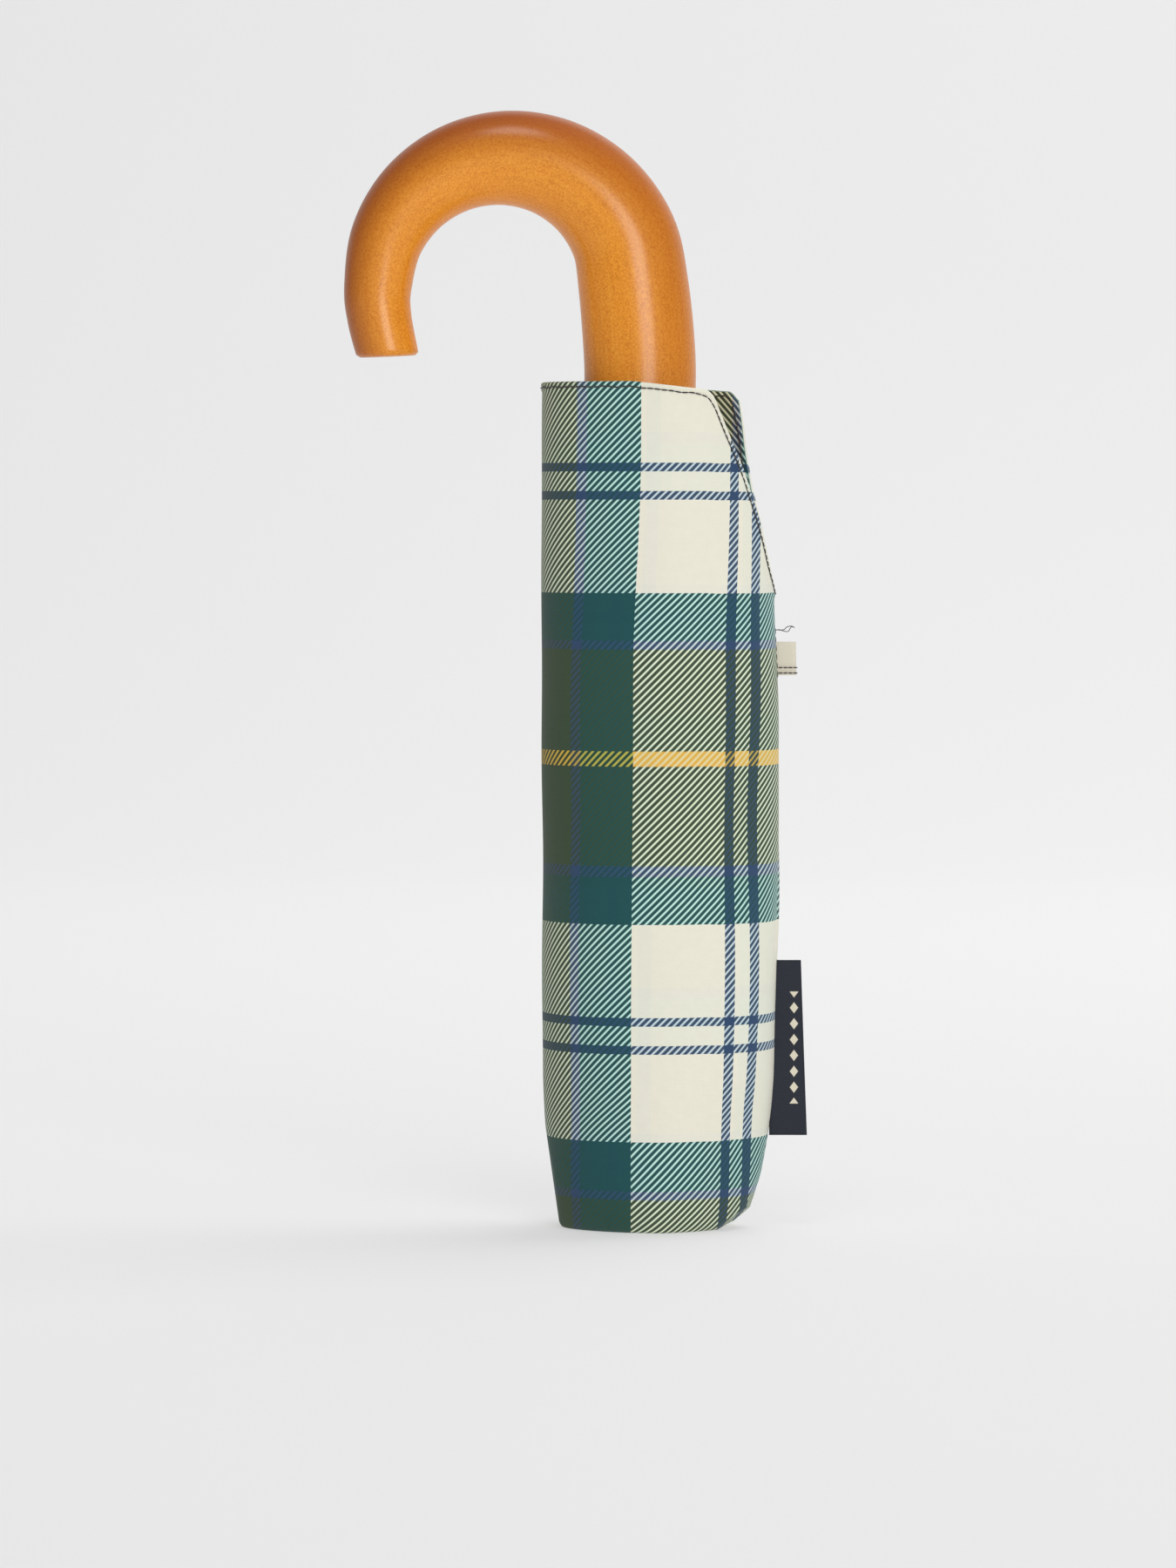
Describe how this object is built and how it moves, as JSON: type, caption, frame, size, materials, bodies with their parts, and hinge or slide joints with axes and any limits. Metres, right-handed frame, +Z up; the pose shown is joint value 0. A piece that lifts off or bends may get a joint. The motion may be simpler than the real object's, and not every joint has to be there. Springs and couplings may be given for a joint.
{
  "type": "folding umbrella",
  "caption": "Telescopic folding umbrella with a wooden crook handle, standing upside down in its own tartan fabric sleeve; the frame, ribs and shaft move.",
  "frame": {"origin": "on the floor under the sleeve, on the axis of the telescopic shaft", "axes": "+Z up along the shaft towards the handle, -X towards the open side of the crook, +X towards the sleeve's seam, -Y towards the front"},
  "size_m": [0.1277, 0.051, 0.3072],
  "materials": {
    "sleeve_print": "woven cotton, printed tartan in cream, teal green, olive, navy and yellow",
    "seam_tape": "cream woven tape",
    "label_weave": "navy damask weave, plain",
    "canopy_print": "thin woven polyester, printed tartan",
    "handle_wood": "bent wood, stained caramel, satin varnish",
    "frame_steel": "nickel plated steel strip",
    "tube_steel": "bright plated steel tube",
    "tube_aluminium": "satin drawn aluminium tube",
    "black_plastic": "moulded black nylon"
  },
  "bodies": {
    "sleeve": {"sleeve": "sleeve_print", "sleeve_label": "label_weave", "sleeve_tab": "seam_tape"},
    "canopy_shaft": {"outer_tube": "tube_aluminium", "outer_tube_bush": "black_plastic", "top_notch": "black_plastic", "top_cap": "black_plastic"},
    "middle_tube": {"middle_tube": "tube_steel", "middle_tube_bush": "black_plastic"},
    "handle": {"handle": "handle_wood", "handle_collar": "frame_steel", "handle_pin": "frame_steel", "inner_tube": "tube_steel"},
    "runner": {"runner": "black_plastic"},
    "runner_button": {"runner_button": "frame_steel"},
    "top_rib_1": {"top_rib_1": "frame_steel"},
    "mid_rib_1": {"mid_rib_1": "frame_steel"},
    "tip_rib_1": {"tip_rib_1": "frame_steel"},
    "stretcher_1": {"stretcher_1": "frame_steel"},
    "crown_cloth_1": {"crown_cloth_1": "canopy_print"},
    "middle_cloth_1": {"middle_cloth_1": "canopy_print"},
    "hem_cloth_1": {"hem_cloth_1": "canopy_print"},
    "top_rib_2": {"top_rib_2": "frame_steel"},
    "mid_rib_2": {"mid_rib_2": "frame_steel"},
    "tip_rib_2": {"tip_rib_2": "frame_steel"},
    "stretcher_2": {"stretcher_2": "frame_steel"},
    "top_rib_3": {"top_rib_3": "frame_steel"},
    "mid_rib_3": {"mid_rib_3": "frame_steel"},
    "tip_rib_3": {"tip_rib_3": "frame_steel"},
    "stretcher_3": {"stretcher_3": "frame_steel"},
    "crown_cloth_2": {"crown_cloth_2": "canopy_print"},
    "middle_cloth_2": {"middle_cloth_2": "canopy_print"},
    "hem_cloth_2": {"hem_cloth_2": "canopy_print"},
    "top_rib_4": {"top_rib_4": "frame_steel"},
    "mid_rib_4": {"mid_rib_4": "frame_steel"},
    "tip_rib_4": {"tip_rib_4": "frame_steel"},
    "stretcher_4": {"stretcher_4": "frame_steel"},
    "top_rib_5": {"top_rib_5": "frame_steel"},
    "mid_rib_5": {"mid_rib_5": "frame_steel"},
    "tip_rib_5": {"tip_rib_5": "frame_steel"},
    "stretcher_5": {"stretcher_5": "frame_steel"},
    "crown_cloth_3": {"crown_cloth_3": "canopy_print"},
    "middle_cloth_3": {"middle_cloth_3": "canopy_print"},
    "hem_cloth_3": {"hem_cloth_3": "canopy_print"},
    "top_rib_6": {"top_rib_6": "frame_steel"},
    "mid_rib_6": {"mid_rib_6": "frame_steel"},
    "tip_rib_6": {"tip_rib_6": "frame_steel"},
    "stretcher_6": {"stretcher_6": "frame_steel"},
    "top_rib_7": {"top_rib_7": "frame_steel"},
    "mid_rib_7": {"mid_rib_7": "frame_steel"},
    "tip_rib_7": {"tip_rib_7": "frame_steel", "closing_strap": "canopy_print"},
    "stretcher_7": {"stretcher_7": "frame_steel"},
    "crown_cloth_4": {"crown_cloth_4": "canopy_print"},
    "middle_cloth_4": {"middle_cloth_4": "canopy_print"},
    "hem_cloth_4": {"hem_cloth_4": "canopy_print"},
    "top_rib_8": {"top_rib_8": "frame_steel"},
    "mid_rib_8": {"mid_rib_8": "frame_steel"},
    "tip_rib_8": {"tip_rib_8": "frame_steel"},
    "stretcher_8": {"stretcher_8": "frame_steel"}
  },
  "joints": [
    {"name": "umbrella_lift", "type": "slide", "parent": "sleeve", "child": "canopy_shaft", "axis": [0, 0, 1], "range_m": [0, 0.24]},
    {"name": "middle_tube_slide", "type": "slide", "parent": "canopy_shaft", "child": "middle_tube", "axis": [0, 0, 1], "range_m": [0, 0.145]},
    {"name": "handle_slide", "type": "slide", "parent": "middle_tube", "child": "handle", "axis": [0, 0, 1], "range_m": [0, 0.145]},
    {"name": "frame_open", "type": "slide", "parent": "canopy_shaft", "child": "runner", "axis": [0, 0, -1], "range_m": [0, 0.09405], "deforming": ["sleeve", "sleeve_label", "sleeve_tab", "crown_cloth_1", "crown_cloth_2", "crown_cloth_3", "crown_cloth_4", "middle_cloth_1", "middle_cloth_2", "middle_cloth_3", "middle_cloth_4", "hem_cloth_1", "hem_cloth_2", "hem_cloth_3", "hem_cloth_4"]},
    {"name": "button_press", "type": "slide", "parent": "runner", "child": "runner_button", "axis": [0, 1, 0], "range_m": [0, 0.0015], "stiffness_N_per_m": 400, "springref_m": -0.001},
    {"name": "top_rib_1_hinge", "type": "hinge", "parent": "canopy_shaft", "child": "top_rib_1", "pos_m": [0.0101, 0, 0.018], "axis": [0, 1, 0], "range_deg": [0, 78.02]},
    {"name": "mid_rib_1_hinge", "type": "hinge", "parent": "top_rib_1", "child": "mid_rib_1", "pos_m": [0.01295, 0, 0.178], "axis": [0, 1, 0], "range_deg": [-190.02, 0]},
    {"name": "tip_rib_1_hinge", "type": "hinge", "parent": "mid_rib_1", "child": "tip_rib_1", "pos_m": [0.01675, 0, 0.023], "axis": [0, 1, 0], "range_deg": [0, 167.02]},
    {"name": "stretcher_1_hinge", "type": "hinge", "parent": "runner", "child": "stretcher_1", "pos_m": [0.0101, 0, 0.188], "axis": [0, 1, 0], "range_deg": [-50.57, 0]},
    {"name": "crown_cloth_1_spread", "type": "hinge", "parent": "top_rib_1", "child": "crown_cloth_1", "pos_m": [0.008, 0, 0.00812], "axis": [-0.9781, 0, 0.2079], "range_deg": [0, 45.02]},
    {"name": "middle_cloth_1_spread", "type": "hinge", "parent": "mid_rib_1", "child": "middle_cloth_1", "pos_m": [0.04732, 0, 0.34444], "axis": [0.9272, 0, -0.3746], "range_deg": [0, 45.02]},
    {"name": "hem_cloth_1_spread", "type": "hinge", "parent": "tip_rib_1", "child": "hem_cloth_1", "pos_m": [-0.08535, 0, -0.28332], "axis": [-0.8192, 0, 0.5736], "range_deg": [0, 45.02]},
    {"name": "top_rib_2_hinge", "type": "hinge", "parent": "canopy_shaft", "child": "top_rib_2", "pos_m": [0.00714, 0.00714, 0.018], "axis": [-0.7071, 0.7071, 0], "range_deg": [0, 78.02]},
    {"name": "mid_rib_2_hinge", "type": "hinge", "parent": "top_rib_2", "child": "mid_rib_2", "pos_m": [0.00915, 0.00915, 0.178], "axis": [-0.7071, 0.7071, 0], "range_deg": [-190.02, 0]},
    {"name": "tip_rib_2_hinge", "type": "hinge", "parent": "mid_rib_2", "child": "tip_rib_2", "pos_m": [0.01184, 0.01184, 0.023], "axis": [-0.7071, 0.7071, 0], "range_deg": [0, 167.02]},
    {"name": "stretcher_2_hinge", "type": "hinge", "parent": "runner", "child": "stretcher_2", "pos_m": [0.00714, 0.00714, 0.188], "axis": [-0.7071, 0.7071, 0], "range_deg": [-50.57, 0]},
    {"name": "top_rib_3_hinge", "type": "hinge", "parent": "canopy_shaft", "child": "top_rib_3", "pos_m": [0, 0.0101, 0.018], "axis": [-1, 0, 0], "range_deg": [0, 78.02]},
    {"name": "mid_rib_3_hinge", "type": "hinge", "parent": "top_rib_3", "child": "mid_rib_3", "pos_m": [0, 0.01295, 0.178], "axis": [-1, 0, 0], "range_deg": [-190.02, 0]},
    {"name": "tip_rib_3_hinge", "type": "hinge", "parent": "mid_rib_3", "child": "tip_rib_3", "pos_m": [0, 0.01675, 0.023], "axis": [-1, 0, 0], "range_deg": [0, 167.02]},
    {"name": "stretcher_3_hinge", "type": "hinge", "parent": "runner", "child": "stretcher_3", "pos_m": [0, 0.0101, 0.188], "axis": [-1, 0, 0], "range_deg": [-50.57, 0]},
    {"name": "crown_cloth_2_spread", "type": "hinge", "parent": "top_rib_3", "child": "crown_cloth_2", "pos_m": [0, 0.008, 0.00812], "axis": [0, -0.9781, 0.2079], "range_deg": [0, 45.02]},
    {"name": "middle_cloth_2_spread", "type": "hinge", "parent": "mid_rib_3", "child": "middle_cloth_2", "pos_m": [0, 0.04732, 0.34444], "axis": [0, 0.9272, -0.3746], "range_deg": [0, 45.02]},
    {"name": "hem_cloth_2_spread", "type": "hinge", "parent": "tip_rib_3", "child": "hem_cloth_2", "pos_m": [0, -0.08535, -0.28332], "axis": [0, -0.8192, 0.5736], "range_deg": [0, 45.02]},
    {"name": "top_rib_4_hinge", "type": "hinge", "parent": "canopy_shaft", "child": "top_rib_4", "pos_m": [-0.00714, 0.00714, 0.018], "axis": [-0.7071, -0.7071, 0], "range_deg": [0, 78.02]},
    {"name": "mid_rib_4_hinge", "type": "hinge", "parent": "top_rib_4", "child": "mid_rib_4", "pos_m": [-0.00915, 0.00915, 0.178], "axis": [-0.7071, -0.7071, 0], "range_deg": [-190.02, 0]},
    {"name": "tip_rib_4_hinge", "type": "hinge", "parent": "mid_rib_4", "child": "tip_rib_4", "pos_m": [-0.01184, 0.01184, 0.023], "axis": [-0.7071, -0.7071, 0], "range_deg": [0, 167.02]},
    {"name": "stretcher_4_hinge", "type": "hinge", "parent": "runner", "child": "stretcher_4", "pos_m": [-0.00714, 0.00714, 0.188], "axis": [-0.7071, -0.7071, 0], "range_deg": [-50.57, 0]},
    {"name": "top_rib_5_hinge", "type": "hinge", "parent": "canopy_shaft", "child": "top_rib_5", "pos_m": [-0.0101, 0, 0.018], "axis": [0, -1, 0], "range_deg": [0, 78.02]},
    {"name": "mid_rib_5_hinge", "type": "hinge", "parent": "top_rib_5", "child": "mid_rib_5", "pos_m": [-0.01295, 0, 0.178], "axis": [0, -1, 0], "range_deg": [-190.02, 0]},
    {"name": "tip_rib_5_hinge", "type": "hinge", "parent": "mid_rib_5", "child": "tip_rib_5", "pos_m": [-0.01675, 0, 0.023], "axis": [0, -1, 0], "range_deg": [0, 167.02]},
    {"name": "stretcher_5_hinge", "type": "hinge", "parent": "runner", "child": "stretcher_5", "pos_m": [-0.0101, 0, 0.188], "axis": [0, -1, 0], "range_deg": [-50.57, 0]},
    {"name": "crown_cloth_3_spread", "type": "hinge", "parent": "top_rib_5", "child": "crown_cloth_3", "pos_m": [-0.008, 0, 0.00812], "axis": [0.9781, 0, 0.2079], "range_deg": [0, 45.02]},
    {"name": "middle_cloth_3_spread", "type": "hinge", "parent": "mid_rib_5", "child": "middle_cloth_3", "pos_m": [-0.04732, 0, 0.34444], "axis": [-0.9272, 0, -0.3746], "range_deg": [0, 45.02]},
    {"name": "hem_cloth_3_spread", "type": "hinge", "parent": "tip_rib_5", "child": "hem_cloth_3", "pos_m": [0.08535, 0, -0.28332], "axis": [0.8192, 0, 0.5736], "range_deg": [0, 45.02]},
    {"name": "top_rib_6_hinge", "type": "hinge", "parent": "canopy_shaft", "child": "top_rib_6", "pos_m": [-0.00714, -0.00714, 0.018], "axis": [0.7071, -0.7071, 0], "range_deg": [0, 78.02]},
    {"name": "mid_rib_6_hinge", "type": "hinge", "parent": "top_rib_6", "child": "mid_rib_6", "pos_m": [-0.00915, -0.00915, 0.178], "axis": [0.7071, -0.7071, 0], "range_deg": [-190.02, 0]},
    {"name": "tip_rib_6_hinge", "type": "hinge", "parent": "mid_rib_6", "child": "tip_rib_6", "pos_m": [-0.01184, -0.01184, 0.023], "axis": [0.7071, -0.7071, 0], "range_deg": [0, 167.02]},
    {"name": "stretcher_6_hinge", "type": "hinge", "parent": "runner", "child": "stretcher_6", "pos_m": [-0.00714, -0.00714, 0.188], "axis": [0.7071, -0.7071, 0], "range_deg": [-50.57, 0]},
    {"name": "top_rib_7_hinge", "type": "hinge", "parent": "canopy_shaft", "child": "top_rib_7", "pos_m": [0, -0.0101, 0.018], "axis": [1, 0, 0], "range_deg": [0, 78.02]},
    {"name": "mid_rib_7_hinge", "type": "hinge", "parent": "top_rib_7", "child": "mid_rib_7", "pos_m": [0, -0.01295, 0.178], "axis": [1, 0, 0], "range_deg": [-190.02, 0]},
    {"name": "tip_rib_7_hinge", "type": "hinge", "parent": "mid_rib_7", "child": "tip_rib_7", "pos_m": [0, -0.01675, 0.023], "axis": [1, 0, 0], "range_deg": [0, 167.02]},
    {"name": "stretcher_7_hinge", "type": "hinge", "parent": "runner", "child": "stretcher_7", "pos_m": [0, -0.0101, 0.188], "axis": [1, 0, 0], "range_deg": [-50.57, 0]},
    {"name": "crown_cloth_4_spread", "type": "hinge", "parent": "top_rib_7", "child": "crown_cloth_4", "pos_m": [0, -0.008, 0.00812], "axis": [0, 0.9781, 0.2079], "range_deg": [0, 45.02]},
    {"name": "middle_cloth_4_spread", "type": "hinge", "parent": "mid_rib_7", "child": "middle_cloth_4", "pos_m": [0, -0.04732, 0.34444], "axis": [0, -0.9272, -0.3746], "range_deg": [0, 45.02]},
    {"name": "hem_cloth_4_spread", "type": "hinge", "parent": "tip_rib_7", "child": "hem_cloth_4", "pos_m": [0, 0.08535, -0.28332], "axis": [0, 0.8192, 0.5736], "range_deg": [0, 45.02]},
    {"name": "top_rib_8_hinge", "type": "hinge", "parent": "canopy_shaft", "child": "top_rib_8", "pos_m": [0.00714, -0.00714, 0.018], "axis": [0.7071, 0.7071, 0], "range_deg": [0, 78.02]},
    {"name": "mid_rib_8_hinge", "type": "hinge", "parent": "top_rib_8", "child": "mid_rib_8", "pos_m": [0.00915, -0.00915, 0.178], "axis": [0.7071, 0.7071, 0], "range_deg": [-190.02, 0]},
    {"name": "tip_rib_8_hinge", "type": "hinge", "parent": "mid_rib_8", "child": "tip_rib_8", "pos_m": [0.01184, -0.01184, 0.023], "axis": [0.7071, 0.7071, 0], "range_deg": [0, 167.02]},
    {"name": "stretcher_8_hinge", "type": "hinge", "parent": "runner", "child": "stretcher_8", "pos_m": [0.00714, -0.00714, 0.188], "axis": [0.7071, 0.7071, 0], "range_deg": [-50.57, 0]}
  ],
  "couplings": [
    {"joint": "top_rib_1_hinge", "follows": "frame_open", "rad_per_m": 14.475},
    {"joint": "mid_rib_1_hinge", "follows": "frame_open", "rad_per_m": -35.259},
    {"joint": "tip_rib_1_hinge", "follows": "frame_open", "rad_per_m": 30.991},
    {"joint": "stretcher_1_hinge", "follows": "frame_open", "rad_per_m": -9.3815},
    {"joint": "crown_cloth_1_spread", "follows": "frame_open", "rad_per_m": 8.3509},
    {"joint": "middle_cloth_1_spread", "follows": "frame_open", "rad_per_m": 8.3509},
    {"joint": "hem_cloth_1_spread", "follows": "frame_open", "rad_per_m": 8.3509},
    {"joint": "top_rib_2_hinge", "follows": "frame_open", "rad_per_m": 14.475},
    {"joint": "mid_rib_2_hinge", "follows": "frame_open", "rad_per_m": -35.259},
    {"joint": "tip_rib_2_hinge", "follows": "frame_open", "rad_per_m": 30.991},
    {"joint": "stretcher_2_hinge", "follows": "frame_open", "rad_per_m": -9.3815},
    {"joint": "top_rib_3_hinge", "follows": "frame_open", "rad_per_m": 14.475},
    {"joint": "mid_rib_3_hinge", "follows": "frame_open", "rad_per_m": -35.259},
    {"joint": "tip_rib_3_hinge", "follows": "frame_open", "rad_per_m": 30.991},
    {"joint": "stretcher_3_hinge", "follows": "frame_open", "rad_per_m": -9.3815},
    {"joint": "crown_cloth_2_spread", "follows": "frame_open", "rad_per_m": 8.3509},
    {"joint": "middle_cloth_2_spread", "follows": "frame_open", "rad_per_m": 8.3509},
    {"joint": "hem_cloth_2_spread", "follows": "frame_open", "rad_per_m": 8.3509},
    {"joint": "top_rib_4_hinge", "follows": "frame_open", "rad_per_m": 14.475},
    {"joint": "mid_rib_4_hinge", "follows": "frame_open", "rad_per_m": -35.259},
    {"joint": "tip_rib_4_hinge", "follows": "frame_open", "rad_per_m": 30.991},
    {"joint": "stretcher_4_hinge", "follows": "frame_open", "rad_per_m": -9.3815},
    {"joint": "top_rib_5_hinge", "follows": "frame_open", "rad_per_m": 14.475},
    {"joint": "mid_rib_5_hinge", "follows": "frame_open", "rad_per_m": -35.259},
    {"joint": "tip_rib_5_hinge", "follows": "frame_open", "rad_per_m": 30.991},
    {"joint": "stretcher_5_hinge", "follows": "frame_open", "rad_per_m": -9.3815},
    {"joint": "crown_cloth_3_spread", "follows": "frame_open", "rad_per_m": 8.3509},
    {"joint": "middle_cloth_3_spread", "follows": "frame_open", "rad_per_m": 8.3509},
    {"joint": "hem_cloth_3_spread", "follows": "frame_open", "rad_per_m": 8.3509},
    {"joint": "top_rib_6_hinge", "follows": "frame_open", "rad_per_m": 14.475},
    {"joint": "mid_rib_6_hinge", "follows": "frame_open", "rad_per_m": -35.259},
    {"joint": "tip_rib_6_hinge", "follows": "frame_open", "rad_per_m": 30.991},
    {"joint": "stretcher_6_hinge", "follows": "frame_open", "rad_per_m": -9.3815},
    {"joint": "top_rib_7_hinge", "follows": "frame_open", "rad_per_m": 14.475},
    {"joint": "mid_rib_7_hinge", "follows": "frame_open", "rad_per_m": -35.259},
    {"joint": "tip_rib_7_hinge", "follows": "frame_open", "rad_per_m": 30.991},
    {"joint": "stretcher_7_hinge", "follows": "frame_open", "rad_per_m": -9.3815},
    {"joint": "crown_cloth_4_spread", "follows": "frame_open", "rad_per_m": 8.3509},
    {"joint": "middle_cloth_4_spread", "follows": "frame_open", "rad_per_m": 8.3509},
    {"joint": "hem_cloth_4_spread", "follows": "frame_open", "rad_per_m": 8.3509},
    {"joint": "top_rib_8_hinge", "follows": "frame_open", "rad_per_m": 14.475},
    {"joint": "mid_rib_8_hinge", "follows": "frame_open", "rad_per_m": -35.259},
    {"joint": "tip_rib_8_hinge", "follows": "frame_open", "rad_per_m": 30.991},
    {"joint": "stretcher_8_hinge", "follows": "frame_open", "rad_per_m": -9.3815}
  ]
}
